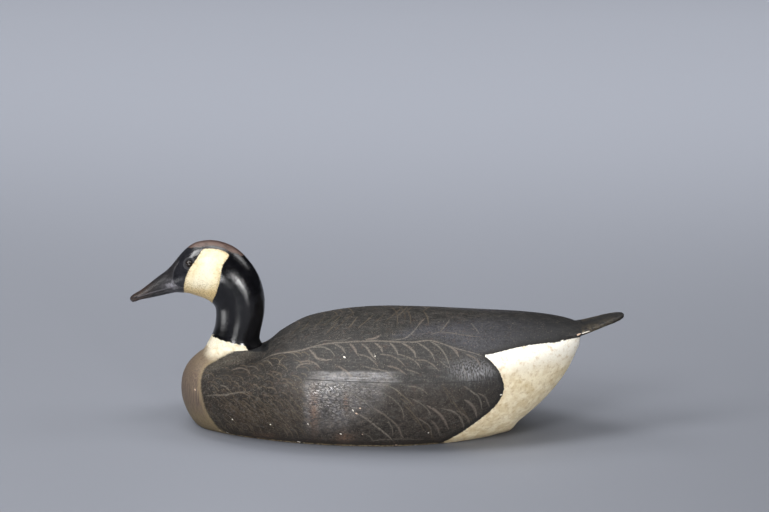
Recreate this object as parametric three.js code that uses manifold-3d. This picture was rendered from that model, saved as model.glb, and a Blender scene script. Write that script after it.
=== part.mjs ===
// A carved wooden goose decoy, life size: a floating goose with a long low body, its neck drawn up and its
// bill held forward. The body is two planks glued one on the other and carved as one, with the tail left
// on the upper plank. The head and neck are a third block, set on a flat seat, with glass bead eyes.
// Units are millimetres. +Z is up and the bill points along -X. The origin is on the surface that the flat
// underside stands on, at the middle of the bird's whole length and width.

import * as THREE from 'three';
import { mergeVertices } from 'three/addons/utils/BufferGeometryUtils.js';
import Module from 'manifold-3d';

const wasm = await Module();
wasm.setup();

// Body
const hull_length = 510; // breast to the end of the rump, without the tail
const body_width = 230;
const lower_plank = 94; // thickness, from the underside to the glue line
const upper_plank = 58; // thickness, from the glue line to the highest place of the back
const body_height = lower_plank + upper_plank;
const glue_line = 0.3; // gap at each glued face, and round each eye

// Tail
const tail_overhang = 55; // free length behind the rump
const tail_rooting = 41; // length that lies along the rump and sinks into it
const tail_width = 100;
const tail_edge = 5; // thickness of its side edges

// Head and neck
const head_height = 137; // seat to crown
const head_width = 56;
const neck_base_length = 72;
const neck_base_width = 60;
const eye_diameter = 9;

// Carving
const valley_depth = 7; // hollow between the neck and each wing
const valley_spread = 12;
const skirt_slope = 0.52; // how fast the foot of the neck runs out below its seat
const skirt_spread = 0.026; // how much faster it runs out with each millimetre down
const skirt_lengthwise = 0.8; // how far it runs out along the bird, as a share of how far across
const skirt_depth = 25;
const mouth_depth = 1.2; // groove between the two halves of the bill
const bill_step = 0.9; // how far the face stands proud of the bill
const deepest_cut = 0.25; // share of the bill's half width that the step and the mouth may take

// Steps of the carved surfaces
const rings_per_station = 2;
const head_rings_per_station = 2;
const base_steps = 2;
const side_steps = 6;
const back_steps = 11;
const head_ring_steps = 30;
const tail_ring_steps = 10;
const skirt_ring_steps = 44;
const skirt_rings = 7;
const bead_steps = 16;

// Pattern of the hull from the breast to the rump. The first value is the place along the hull, in hundredths
// of its length. ridge, keel and bulge are the heights of the top, the bottom and the widest place, in
// hundredths of the body's height. beam is the half width in hundredths of the whole one, foot is the flat
// underside's share of that beam, and turn is how far the side turns under, in degrees.
const hull_stations = [
  { at: 0, ridge: 30.1, keel: 30.1, bulge: 30.1, beam: 0, foot: 0.3, turn: 88 },
  { at: 0.5, ridge: 41.2, keel: 21.5, bulge: 30.3, beam: 13.5, foot: 0.3, turn: 88 },
  { at: 1.3, ridge: 47.7, keel: 14, bulge: 30.8, beam: 23, foot: 0.28, turn: 86 },
  { at: 2.4, ridge: 52.9, keel: 7.5, bulge: 31.5, beam: 33, foot: 0.26, turn: 82 },
  { at: 3.6, ridge: 56.7, keel: 2.4, bulge: 32.3, beam: 42.5, foot: 0.28, turn: 76 },
  { at: 4.9, ridge: 60, keel: 0, bulge: 33.5, beam: 49.5, foot: 0.42, turn: 66 },
  { at: 7, ridge: 62.4, keel: 0, bulge: 35, beam: 57.5, foot: 0.545, turn: 60 },
  { at: 9.5, ridge: 63, keel: 0, bulge: 37, beam: 65.2, foot: 0.585, turn: 57 },
  { at: 12.5, ridge: 62.8, keel: 0, bulge: 38.7, beam: 72.5, foot: 0.62, turn: 56 },
  { at: 15.5, ridge: 62.4, keel: 0, bulge: 39.9, beam: 78.2, foot: 0.65, turn: 55 },
  { at: 18.5, ridge: 61.5, keel: 0, bulge: 40.9, beam: 82.4, foot: 0.672, turn: 53 },
  { at: 21.5, ridge: 67.2, keel: 0, bulge: 42, beam: 86, foot: 0.69, turn: 52 },
  { at: 24, ridge: 75, keel: 0, bulge: 43.5, beam: 89, foot: 0.7, turn: 52 },
  { at: 27, ridge: 81.2, keel: 0, bulge: 45, beam: 92.2, foot: 0.712, turn: 51 },
  { at: 31, ridge: 88.8, keel: 0, bulge: 46.3, beam: 95.8, foot: 0.72, turn: 51 },
  { at: 36, ridge: 93.5, keel: 0, bulge: 47.7, beam: 98.6, foot: 0.73, turn: 50 },
  { at: 43, ridge: 97.8, keel: 0, bulge: 49.5, beam: 100, foot: 0.74, turn: 50 },
  { at: 52, ridge: 100, keel: 0, bulge: 52, beam: 100, foot: 0.73, turn: 50 },
  { at: 62, ridge: 100, keel: 0, bulge: 55, beam: 97, foot: 0.665, turn: 51 },
  { at: 70, ridge: 99.5, keel: 0, bulge: 58, beam: 91.5, foot: 0.57, turn: 54 },
  { at: 78, ridge: 99.3, keel: 0, bulge: 62.5, beam: 81.5, foot: 0.385, turn: 60 },
  { at: 83.2, ridge: 99.3, keel: 0, bulge: 66.5, beam: 72.5, foot: 0.16, turn: 70 },
  { at: 85, ridge: 99.2, keel: 7, bulge: 68, beam: 69, foot: 0.13, turn: 78 },
  { at: 87.5, ridge: 99, keel: 15.2, bulge: 69.5, beam: 63, foot: 0.12, turn: 84 },
  { at: 91, ridge: 98.5, keel: 26.8, bulge: 72.5, beam: 54, foot: 0.12, turn: 87 },
  { at: 94.5, ridge: 97.3, keel: 40.8, bulge: 76.5, beam: 43.5, foot: 0.13, turn: 88 },
  { at: 97.5, ridge: 95.5, keel: 56.5, bulge: 80.5, beam: 32.5, foot: 0.15, turn: 88 },
  { at: 100, ridge: 92.6, keel: 77.5, bulge: 84, beam: 22, foot: 0.2, turn: 88 },
];

// Heights of the tail's middle plane at its buried front and at its tip.
const tail_root_height = 0.83 * body_height;
const tail_tip_height = 1.009 * body_height;

// Pattern of the tail from its buried front to its tip: half width in hundredths of the whole one, rise in
// hundredths of the way from the root's height to the tip's, and how far the top and the underside bulge
// beyond the edges, in millimetres.
const tail_stations = [
  { at: 0, half: 100, rise: 0, crown: 1, belly: 1.5 },
  { at: 25, half: 72, rise: 18, crown: 2.4, belly: 2 },
  { at: 50, half: 54, rise: 41.5, crown: 2.6, belly: 2.2 },
  { at: 72, half: 42, rise: 70, crown: 2.4, belly: 2.2 },
  { at: 88, half: 31, rise: 88.5, crown: 1.6, belly: 1.4 },
  { at: 96, half: 19, rise: 96.5, crown: 0.8, belly: 0.7 },
  { at: 100, half: 7, rise: 100, crown: 0.2, belly: 0.2 },
];

// Pattern of the head and neck, from the seat up the neck, over the crown and out to the bill. back and back_up
// are a point of the outer outline, from the nape to the culmen, and front and front_up the point across from
// it, from the throat to the chin, all in hundredths of the head's height from the middle of the seat. half is
// the half width in hundredths of the whole one, and low is how far the widest place lies below the middle.
const neck_base = {
  back: (50 * neck_base_length) / head_height,
  front: (-50 * neck_base_length) / head_height,
  half: (100 * neck_base_width) / head_width,
};
const head_stations = [
  { back: neck_base.back, back_up: 0, front: neck_base.front, front_up: 0, half: neck_base.half, low: 0 },
  { back: 23.7, back_up: 6.4, front: -22.4, front_up: 6.4, half: 96, low: 0 },
  { back: 26.4, back_up: 19.1, front: -17.9, front_up: 18, half: 91, low: 0 },
  { back: 28.9, back_up: 31.8, front: -16.6, front_up: 28.5, half: 88, low: 0 },
  { back: 29.4, back_up: 44.8, front: -16.8, front_up: 35.3, half: 88, low: 0 },
  { back: 26.5, back_up: 60.1, front: -19.4, front_up: 39.8, half: 90, low: 0.02 },
  { back: 21.6, back_up: 71.7, front: -22.3, front_up: 42.3, half: 93.5, low: 0.04 },
  { back: 15.3, back_up: 80.9, front: -25.3, front_up: 44.1, half: 97, low: 0.07 },
  { back: 5.5, back_up: 91, front: -29.1, front_up: 45.6, half: 100, low: 0.1 },
  { back: -6.8, back_up: 97.5, front: -33, front_up: 46.9, half: 100, low: 0.13 },
  { back: -20, back_up: 100, front: -37, front_up: 48.2, half: 98, low: 0.13 },
  { back: -33.3, back_up: 97.9, front: -40.7, front_up: 49.4, half: 94, low: 0.13 },
  { back: -41.1, back_up: 93.4, front: -44, front_up: 50, half: 87, low: 0.12 },
  { back: -48.7, back_up: 85.8, front: -47.5, front_up: 50.5, half: 77, low: 0.12 },
  { back: -55.2, back_up: 77.5, front: -51.5, front_up: 50.9, half: 66, low: 0.14 },
  { back: -61.9, back_up: 70, front: -57, front_up: 50, half: 56, low: 0.2 },
  { back: -70.3, back_up: 63.6, front: -66.5, front_up: 47.7, half: 46.5, low: 0.3 },
  { back: -80, back_up: 55.7, front: -78, front_up: 45, half: 38.5, low: 0.36 },
  { back: -89, back_up: 48.7, front: -88, front_up: 42.8, half: 33, low: 0.34 },
  { back: -95.3, back_up: 44.8, front: -94.6, front_up: 40.6, half: 25, low: 0.2 },
  { back: -97.6, back_up: 42.5, front: -97.6, front_up: 42.3, half: 3, low: 0 },
];

// Where the head is set: the middle of the neck seat along the hull and its height, as shares of the hull's.
const neck_x = 0.1375 * hull_length;
const seat_height = 0.677 * body_height;

// Path of the valley beside the neck, in hundredths of the hull's length and of its half width.
const valley_path = [
  { along: 6, out: 66 },
  { along: 11.5, out: 49 },
  { along: 16.5, out: 43.5 },
  { along: 21, out: 33 },
  { along: 28, out: 22 },
];

// Where each eye sits on the head: the place along its stations, and up the side from bottom (-1) to top (1).
const eye_station = 11.4;
const eye_up = 0.47;
const eye_sunk = 0.2; // share of the bead's diameter that its middle lies below the surface

// The bill begins at this station, and its mouth runs this far round from its top, in steps of the ring.
const bill_station = 14.05;
const bill_step_run = 0.16; // share of a station that the step takes
const mouth_step = Math.round(0.34 * head_ring_steps);

// Slope of a curve where it comes in at one rate and leaves at another, so that it never swings past a station.
function eased(before, after) {
  return before * after > 0 ? (2 * before * after) / (before + after) : 0;
}

// Every value of a table of stations at a place along it, on a smooth curve through all of them.
function between(stations, place) {
  const last = stations.length - 1;
  const i = Math.min(Math.floor(place), last - 1);
  const f = place - i;
  const [a, b, c, d] = [i - 1, i, i + 1, i + 2].map((k) => stations[THREE.MathUtils.clamp(k, 0, last)]);
  const mixed = {};
  for (const key of Object.keys(b)) {
    const rise = c[key] - b[key];
    const leave = i === 0 ? rise : eased(b[key] - a[key], rise);
    const arrive = i === last - 1 ? rise : eased(rise, d[key] - c[key]);
    mixed[key] =
      (2 * b[key] - 2 * c[key] + leave + arrive) * f ** 3 +
      (-3 * b[key] + 3 * c[key] - 2 * leave - arrive) * f ** 2 +
      leave * f +
      b[key];
  }
  return mixed;
}

// A hump from 0 through 1 back to 0 as f goes from 0 to 1, and 0 outside.
function hump(f) {
  return f > 0 && f < 1 ? Math.sin(Math.PI * f) ** 2 : 0;
}

// A closed skin over rings of points, in order along the piece. Each end is closed by a fan to its middle.
function skin(rings) {
  const size = rings[0].length;
  const all = rings.flat();
  const middles = [rings[0], rings.at(-1)].map((ring) =>
    ring.reduce((sum, point) => sum.add(point), new THREE.Vector3()).divideScalar(size),
  );
  const first_middle = rings.length * size;
  const faces = [];
  for (let i = 0; i < size; i++) {
    const j = (i + 1) % size;
    for (let r = 0; r < rings.length - 1; r++) {
      const [a, b, c, d] = [r * size + i, r * size + j, (r + 1) * size + j, (r + 1) * size + i];
      const straight = all[a].distanceTo(all[c]) <= all[b].distanceTo(all[d]);
      faces.push(...(straight ? [a, b, c, a, c, d] : [a, b, d, b, c, d]));
    }
    const last = (rings.length - 1) * size;
    faces.push(first_middle, j, i, first_middle + 1, last + i, last + j);
  }
  const geometry = new THREE.BufferGeometry().setFromPoints([...all, ...middles]);
  geometry.setIndex(faces);
  return geometry;
}

// A closed geometry as a solid that can be cut and joined, and back again.
function solid_of(geometry) {
  const bare = new THREE.BufferGeometry().setAttribute('position', geometry.getAttribute('position'));
  bare.setIndex(geometry.index);
  const merged = mergeVertices(bare, 1e-3);
  return new wasm.Manifold(
    new wasm.Mesh({
      numProp: 3,
      vertProperties: new Float32Array(merged.getAttribute('position').array),
      triVerts: new Uint32Array(merged.index.array),
    }),
  );
}

function geometry_of(solid) {
  const mesh = solid.getMesh();
  const geometry = new THREE.BufferGeometry();
  geometry.setAttribute('position', new THREE.BufferAttribute(mesh.vertProperties, 3));
  geometry.setIndex(new THREE.BufferAttribute(mesh.triVerts, 1));
  geometry.computeVertexNormals();
  return geometry;
}

// Height of the back's surface once the valley beside the neck is carved.
function carve_back(x, y, z) {
  const along = (100 * x) / hull_length;
  const start = valley_path[0].along;
  const end = valley_path.at(-1).along;
  const f = (along - start) / (end - start);
  if (f <= 0 || f >= 1) return z;
  const path = between(valley_path, f * (valley_path.length - 1));
  const off = (Math.abs(y) - (path.out * body_width) / 200) / valley_spread;
  return z - valley_depth * hump(f) * Math.exp(-off * off);
}

// Half of a section of the hull, from the keel round to the ridge.
function half_section(station) {
  const x = (station.at * hull_length) / 100;
  const [ridge, keel, bulge] = [station.ridge, station.keel, station.bulge].map((h) => (h * body_height) / 100);
  const beam = (station.beam * body_width) / 200;
  const foot = station.foot * beam;
  const turn = THREE.MathUtils.degToRad(station.turn);
  const points = [];
  for (let i = 0; i < base_steps; i++) points.push(new THREE.Vector3(x, (foot * i) / base_steps, keel));
  for (let i = 0; i < side_steps; i++) {
    const angle = turn * (1 - i / side_steps);
    const y = beam - ((beam - foot) * (1 - Math.cos(angle))) / (1 - Math.cos(turn));
    const z = bulge - ((bulge - keel) * Math.sin(angle)) / Math.sin(turn);
    points.push(new THREE.Vector3(x, y, z));
  }
  for (let i = 0; i <= back_steps; i++) {
    const angle = (Math.PI / 2) * (i / back_steps);
    const y = i === back_steps ? 0 : beam * Math.cos(angle);
    const z = bulge + (ridge - bulge) * Math.sin(angle);
    points.push(new THREE.Vector3(x, y, carve_back(x, y, z)));
  }
  return points;
}

function mirrored(point) {
  return new THREE.Vector3(point.x, -point.y, point.z);
}

// The whole hull as one skin, before the planks are told apart.
function hull_geometry() {
  const rings = [];
  const count = (hull_stations.length - 1) * rings_per_station;
  for (let i = 1; i <= count; i++) {
    const half = half_section(between(hull_stations, i / rings_per_station));
    rings.push([...half, ...half.slice(1, -1).reverse().map(mirrored)]);
  }
  const breast = new THREE.Vector3(0, 0, (hull_stations[0].bulge * body_height) / 100);
  rings.unshift(rings[0].map((point) => breast.clone().lerp(point, 1 / 3)));
  return skin(rings);
}

// The foot of the neck: a skirt that spreads from just above the neck seat down into the breast. Its rings
// lie closer together towards the top.
function skirt_geometry() {
  const rings = [];
  for (let i = skirt_rings - 1; i >= 0; i--) {
    const down = skirt_depth * (i / (skirt_rings - 1)) ** 1.5 - 2 * glue_line;
    const out = skirt_slope * down + skirt_spread * down * Math.abs(down);
    rings.push(
      Array.from({ length: skirt_ring_steps }, (_, k) => {
        const angle = (2 * Math.PI * k) / skirt_ring_steps;
        const length = neck_base_length / 2 + skirt_lengthwise * out;
        const width = neck_base_width / 2 + out;
        return new THREE.Vector3(
          neck_x + length * Math.cos(angle),
          width * Math.sin(angle),
          seat_height - down,
        );
      }),
    );
  }
  return skin(rings);
}

// The tail as a thin tongue, thicker along its middle, that rises from inside the rump.
function tail_geometry() {
  const rings = [];
  const count = (tail_stations.length - 1) * rings_per_station;
  for (let i = 0; i <= count; i++) {
    const station = between(tail_stations, i / rings_per_station);
    const x = hull_length - tail_rooting + (station.at / 100) * (tail_rooting + tail_overhang);
    const half = (station.half * tail_width) / 200;
    const middle = tail_root_height + ((tail_tip_height - tail_root_height) * station.rise) / 100;
    const ring = [];
    for (const side of [-1, 1]) {
      const bulge = side < 0 ? station.belly : station.crown;
      for (let k = 0; k <= tail_ring_steps; k++) {
        const across = side * (1 - (2 * k) / tail_ring_steps);
        const z = middle + side * (tail_edge / 2 + bulge * (1 - across * across));
        ring.push(new THREE.Vector3(x, -half * across, z));
      }
    }
    rings.push(ring.reverse());
  }
  return skin(rings);
}

// A point of the head's surface: place is along the stations, and angle goes round from the nape side.
function head_point(place, angle, in_mouth = false) {
  const station = between(head_stations, place);
  const up = Math.cos(angle);
  const lowered = up - station.low * (1 - up * up);
  const share = (1 + lowered) / 2;
  const unit = head_height / 100;
  const x = THREE.MathUtils.lerp(station.front, station.back, share) * unit;
  const z = THREE.MathUtils.lerp(station.front_up, station.back_up, share) * unit;
  const on_bill = place > bill_station ? 1 : 0;
  const half = (station.half * head_width) / 200;
  const cut = bill_step + (in_mouth ? mouth_depth : 0);
  const carved = half - on_bill * Math.min(cut, deepest_cut * half);
  return new THREE.Vector3(x, carved * Math.sin(angle), z);
}

function head_geometry() {
  const places = [bill_station - bill_step_run / 2, bill_station + bill_step_run / 2];
  const count = (head_stations.length - 1) * head_rings_per_station;
  for (let i = 0; i <= count; i++) {
    const place = i / head_rings_per_station;
    if (Math.abs(place - bill_station) > bill_step_run) places.push(place);
  }
  places.sort((one, other) => one - other);
  return skin(
    places.map((place) =>
      Array.from({ length: head_ring_steps }, (_, k) => {
        const in_mouth = k === mouth_step || k === head_ring_steps - mouth_step;
        return head_point(place, (2 * Math.PI * k) / head_ring_steps, in_mouth);
      }),
    ),
  );
}

// The middle of an eye bead: on the head's surface, then sunk along the line square to it.
function eye_centre(side) {
  const angle = side * Math.acos(eye_up);
  const step = 0.02;
  const surface = head_point(eye_station, angle);
  const along = head_point(eye_station + step, angle).sub(surface);
  const around = head_point(eye_station, angle + step).sub(surface);
  const outward = new THREE.Vector3().crossVectors(along, around).normalize();
  if (outward.y * side < 0) outward.negate();
  return surface.addScaledVector(outward, -eye_sunk * eye_diameter);
}

// A block of the body between two heights, wide and long enough to hold all of it.
function slab(low, high) {
  const reach = 2 * (hull_length + tail_overhang + body_width);
  return solid_of(new THREE.BoxGeometry(reach, reach, high - low).translate(0, 0, (low + high) / 2));
}

function painted(name, geometry, colour, roughness) {
  const material = new THREE.MeshStandardMaterial({ color: colour, roughness, metalness: 0 });
  const mesh = new THREE.Mesh(geometry, material);
  mesh.name = name;
  return mesh;
}

// The two body blocks: hull and tail joined, cut flat for the neck, and parted at the glue line.
const seat_cutter = new THREE.CylinderGeometry(1, 1, 1, skirt_ring_steps);
seat_cutter.rotateX(Math.PI / 2).translate(0, 0, 0.5);
seat_cutter.scale(neck_base_length / 2 + glue_line, neck_base_width / 2 + glue_line, body_height);
seat_cutter.translate(neck_x, 0, seat_height);
const carved_body = solid_of(hull_geometry())
  .add(solid_of(tail_geometry()))
  .add(solid_of(skirt_geometry()))
  .subtract(solid_of(seat_cutter));
const lower_block = carved_body.intersect(slab(-body_height, lower_plank - glue_line / 2));
const upper_block = carved_body.intersect(slab(lower_plank + glue_line / 2, 3 * body_height));

function bead_of(radius) {
  return new THREE.SphereGeometry(radius, bead_steps, bead_steps / 2 + 2);
}

// The head with a socket for each bead.
const eye_sides = { left_eye: -1, right_eye: 1 };
let carved_head = solid_of(head_geometry());
for (const side of Object.values(eye_sides)) {
  const socket = bead_of(eye_diameter / 2 + glue_line);
  carved_head = carved_head.subtract(solid_of(socket.translate(...eye_centre(side))));
}

const bird = new THREE.Group();
bird.add(painted('lower_body', geometry_of(lower_block), 0x3a332c, 0.6));
bird.add(painted('upper_body', geometry_of(upper_block), 0x2c2a28, 0.6));

const head = new THREE.Group();
head.position.set(neck_x, 0, seat_height + glue_line);
head.add(painted('head_and_neck', geometry_of(carved_head), 0x141416, 0.35));
for (const [name, side] of Object.entries(eye_sides)) {
  const bead = painted(name, bead_of(eye_diameter / 2), 0x0a0806, 0.08);
  bead.position.copy(eye_centre(side));
  head.add(bead);
}
bird.add(head);

// The whole bird is moved along so that the origin lies under its middle.
const reach = new THREE.Box3().setFromObject(bird);
bird.position.x = -(reach.min.x + reach.max.x) / 2;

export default bird;
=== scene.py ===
import math

import bpy
import numpy as np
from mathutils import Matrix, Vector
from mathutils.bvhtree import BVHTree
from mathutils.kdtree import KDTree


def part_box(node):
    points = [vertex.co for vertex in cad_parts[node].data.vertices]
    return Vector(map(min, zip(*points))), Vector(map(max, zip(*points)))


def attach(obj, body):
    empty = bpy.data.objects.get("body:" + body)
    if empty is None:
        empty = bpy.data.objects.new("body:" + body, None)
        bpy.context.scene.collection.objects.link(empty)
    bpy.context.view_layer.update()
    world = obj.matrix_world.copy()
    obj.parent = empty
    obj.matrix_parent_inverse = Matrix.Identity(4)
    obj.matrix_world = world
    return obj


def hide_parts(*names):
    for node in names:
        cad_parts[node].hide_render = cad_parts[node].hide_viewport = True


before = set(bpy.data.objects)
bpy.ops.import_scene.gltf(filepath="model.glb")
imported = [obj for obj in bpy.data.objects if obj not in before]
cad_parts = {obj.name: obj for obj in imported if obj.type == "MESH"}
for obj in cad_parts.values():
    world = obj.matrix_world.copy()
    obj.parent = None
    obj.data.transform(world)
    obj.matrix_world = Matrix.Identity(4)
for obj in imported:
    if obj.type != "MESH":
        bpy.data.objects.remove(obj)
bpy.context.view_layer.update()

# The body. Two pine planks, glued one on the other and carved as one with spokeshave and rasp, then
# sealed and painted in oils with a brush. The lower plank carries the flat underside and the upper one
# the back, the tail and the flat seat of the neck.

mm = 0.001
same_place = 0.01 * mm
hair = 0.1 * mm  # the spare that cuts and joints are given
glue_line = 94 * mm
glue_gap = 0.03 * mm  # half of what shows of the joint where the paint bridges it
body_grain = 1.7 * mm  # size of the smallest facet left on the body
body_passes = 40
neck_stub = 22 * mm  # how much of the neck stays on the body while its foot is blended in
stub_sunk = 3 * mm  # how far that part reaches into the body
tail_slope, tail_spared = (232 * mm, 272 * mm), 0.88  # the thin tail is rasped less, from here on
foot_slope, foot_share = (1 * mm, 7 * mm), 0.25  # and so is the sharp edge round the underside


def take_up(*pieces):
    """Selects these pieces and nothing else, with the first as the active one."""
    bpy.ops.object.select_all(action="DESELECT")
    for piece in pieces:
        piece.select_set(True)
    bpy.context.view_layer.objects.active = pieces[0]


def points_of(piece):
    flat = np.empty(3 * len(piece.data.vertices))
    piece.data.vertices.foreach_get("co", flat)
    return flat.reshape(-1, 3)


def set_points(piece, points):
    piece.data.vertices.foreach_set("co", points.ravel())
    piece.data.update()


def duplicate(piece, name):
    copy = bpy.data.objects.new(name, piece.data.copy())
    copy.data.materials.clear()
    bpy.context.scene.collection.objects.link(copy)
    return copy


def blank_of(name, *nodes):
    """A rough blank with the shape of these CAD nodes, as one mesh."""
    copies = [duplicate(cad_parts[node], name) for node in nodes]
    take_up(*copies)
    if len(copies) > 1:
        bpy.ops.object.join()
    bpy.ops.object.mode_set(mode="EDIT")
    bpy.ops.mesh.select_all(action="SELECT")
    bpy.ops.mesh.remove_doubles(threshold=same_place)
    bpy.ops.object.mode_set(mode="OBJECT")
    return bpy.context.object


def worked_with(piece, kind, **settings):
    """Works the piece once with a modifier and applies it."""
    take_up(piece)
    modifier = piece.modifiers.new(kind.lower(), kind)
    for name, value in settings.items():
        setattr(modifier, name, value)
    bpy.ops.object.modifier_apply(modifier=modifier.name)


def saw(piece, height, keep_below):
    """Saws the piece through level at this height, keeps one side and closes the cut."""
    take_up(piece)
    bpy.ops.object.mode_set(mode="EDIT")
    bpy.ops.mesh.select_all(action="SELECT")
    bpy.ops.mesh.bisect(
        plane_co=(0, 0, height),
        plane_no=(0, 0, 1),
        use_fill=True,
        clear_outer=keep_below,
        clear_inner=not keep_below,
    )
    bpy.ops.object.mode_set(mode="OBJECT")


def weigh(piece, name, weights, steps=12):
    """A vertex group whose weights are rounded to a few steps."""
    group = piece.vertex_groups.new(name=name)
    rounded = np.round(np.clip(weights, 0, 1) * steps).astype(int)
    for step in range(1, steps + 1):
        group.add(np.nonzero(rounded == step)[0].tolist(), step / steps, "REPLACE")
    return group.name


def rasp(piece, passes, shares):
    """Rounds the piece off, each of its points by its own share of the passes."""
    group = weigh(piece, "rasped", shares)
    worked_with(piece, "SMOOTH", factor=0.5, iterations=passes, vertex_group=group)
    piece.vertex_groups.clear()


def grade(value, low, high):
    """0 up to low, 1 from high on, and a smooth slope between. High may be the smaller number."""
    f = np.clip((value - low) / (high - low), 0, 1)
    return f * f * (3 - 2 * f)


seat_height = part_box("head_and_neck")[0].z
neck_ring = points_of(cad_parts["head_and_neck"])
neck_ring = neck_ring[neck_ring[:, 2] < seat_height + hair]
neck_middle = (neck_ring[:, 0].min() + neck_ring[:, 0].max()) / 2
neck_length = np.ptp(neck_ring[:, 0])
neck_width = np.ptp(neck_ring[:, 1])

# The planks overlap a little at the joint, so that they are worked as one. The lower end of the neck stays
# on meanwhile, so that the body sweeps up to it.

body = blank_of("body", "lower_body", "upper_body")
points = points_of(body)
at_joint = np.abs(points[:, 2] - glue_line) < 2 * hair
points[at_joint, 2] = 2 * glue_line - points[at_joint, 2]
set_points(body, points)
stub = blank_of("neck_stub", "head_and_neck")
saw(stub, seat_height + neck_stub, keep_below=True)
points = points_of(stub)
points[points[:, 2] < seat_height + hair, 2] -= stub_sunk
set_points(stub, points)
take_up(body, stub)
bpy.ops.object.join()
worked_with(body, "REMESH", mode="VOXEL", voxel_size=body_grain)

points = points_of(body)
on_tail = grade(points[:, 0], *tail_slope)
above_foot = grade(points[:, 2], *foot_slope)
rasp(body, body_passes, (1 - tail_spared * on_tail) * (foot_share + (1 - foot_share) * above_foot))
points = points_of(body)
points[:, 2] = np.maximum(points[:, 2], 0)
set_points(body, points)

# The seat of the neck is cut flat with an oval cutter, a hair wider and deeper than the foot of the neck.

bpy.ops.mesh.primitive_cylinder_add(
    vertices=96,
    radius=0.5,
    depth=neck_stub * 2,
    location=(neck_middle, 0, seat_height - hair + neck_stub),
    scale=(neck_length + hair, neck_width + hair, 1),
)
cutter = bpy.context.object
worked_with(body, "BOOLEAN", operation="DIFFERENCE", object=cutter, solver="MANIFOLD")
bpy.data.objects.remove(cutter)


def skin_of(piece):
    return BVHTree.FromPolygons(
        [vertex.co for vertex in piece.data.vertices],
        [face.vertices for face in piece.data.polygons],
    )


# Where the camera stood. The borders of the paint, the brush strokes and the chips are laid out as places in
# the picture that it took, in pixels, and go onto both sides of the bird alike.

picture = np.array((769, 512))
view_turn = math.radians(4.5)
view_rise = math.radians(15)
view_distance = 2.5
view_aim = Vector((0.0124, 0, 0.224))
lens = 93
sensor = 36
towards_camera = Vector(
    (
        math.sin(view_turn) * math.cos(view_rise),
        -math.cos(view_turn) * math.cos(view_rise),
        math.sin(view_rise),
    )
)
picture_right = Vector((math.cos(view_turn), math.sin(view_turn), 0))
picture_up = towards_camera.cross(picture_right)
eye_place = view_aim + towards_camera * view_distance
pixels_deep = lens / sensor * picture[0]
border_step = 3


def near_side_of(points):
    """These points, with those of the bird's far side mirrored onto the near one."""
    return points * (1, 0, 1) - np.abs(points[:, 1:2]) * (0, 1, 0)


def seen_at(points):
    """Where points of the bird, or their mirror images on the near side, show in the picture."""
    away = near_side_of(points) - np.array(eye_place)
    depth = -away @ np.array(towards_camera)
    across = away @ np.array(picture_right) / depth
    up = away @ np.array(picture_up) / depth
    return picture / 2 + pixels_deep * np.column_stack((across, -up))


def flowing(marks, step=1.0, closed=False):
    """Places about a step apart on a smooth line through these marks."""
    marks = [np.array(mark, float) for mark in marks]
    if closed:
        ends = [marks[-1]], [marks[0], marks[1]]
    else:
        ends = [2 * marks[0] - marks[1]], [2 * marks[-1] - marks[-2]]
    row = ends[0] + marks + ends[1]
    line = []
    for a, b, c, d in zip(row, row[1:], row[2:], row[3:]):
        count = max(2, round(np.linalg.norm(c - b) / step))
        for f in np.arange(count) / count:
            bend = (2 * a - 5 * b + 4 * c - d) * f**2 + (3 * b - a - 3 * c + d) * f**3
            line.append(b + ((c - a) * f + bend) / 2)
    if not closed:
        line.append(row[-2])
    return np.array(line)


def depth_inside(outline, places):
    """How far inside a closed outline each place is, in pixels, and less than 0 where it is outside."""
    nearest = np.full(len(places), np.inf)
    crossings = np.zeros(len(places), int)
    for a, b in zip(outline, np.roll(outline, -1, axis=0)):
        edge = b - a
        share = np.clip((places - a) @ edge / (edge @ edge), 0, 1)
        gap = places - a - share[:, None] * edge
        nearest = np.minimum(nearest, (gap**2).sum(axis=1))
        spans = (a[1] > places[:, 1]) != (b[1] > places[:, 1])
        if a[1] != b[1]:
            reach = a[0] + (places[:, 1] - a[1]) * edge[0] / edge[1]
            crossings += spans & (places[:, 0] < reach)
    return np.where(crossings % 2, 1, -1) * np.sqrt(nearest)


def lay_field(piece, name, values):
    """Keeps a number for each point of the piece, which its paint reads."""
    kept = piece.data.attributes.new(name, "FLOAT", "POINT")
    kept.data.foreach_set("value", np.asarray(values, np.float32))


def lay_borders(piece, **borders):
    """Keeps, under each border's name, how far inside it each point of the piece is, in pixels."""
    seen = seen_at(points_of(piece))
    for name, border in borders.items():
        lay_field(piece, name, depth_inside(flowing(border, border_step, closed=True), seen))


def on_skin(skin, places, side):
    """Points and outward directions on one side of the bird, under places in the picture."""
    flip = Vector((1, -side, 1))
    found = []
    for x, y in places:
        ray = (
            picture_right * (x - picture[0] / 2)
            - picture_up * (y - picture[1] / 2)
            - towards_camera * pixels_deep
        )
        point, normal, _, _ = skin.ray_cast(eye_place * flip, ray.normalized() * flip)
        if point is not None:
            found.append((point, normal))
    return found


def cut_line(skin, marks, step=1.0):
    """The points under a smooth line in the picture, on both sides of the bird."""
    return [point for side in (-1, 1) for point, _ in on_skin(skin, flowing(marks, step), side)]


# The crease between the mantle and the wing, cut with the corner of a gouge from the nape down to the breast.
# The nape round it is rasped once more.

crease_marks = [(272, 350), (262, 357), (250, 363.5), (240, 367), (230, 368.5), (220, 372), (214, 375)]
crease_depth = 2.2 * mm
crease_reach = 4.2 * mm
nape_place, nape_reach = -146 * mm, 14 * mm
nape_foot = 85 * mm
nape_flank = 12 * mm, 26 * mm
nape_passes = 40


def tree_of(points):
    """A tree that finds the nearest of these points."""
    tree = KDTree(len(points))
    for number, point in enumerate(points):
        tree.insert(point, number)
    tree.balance()
    return tree


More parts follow.
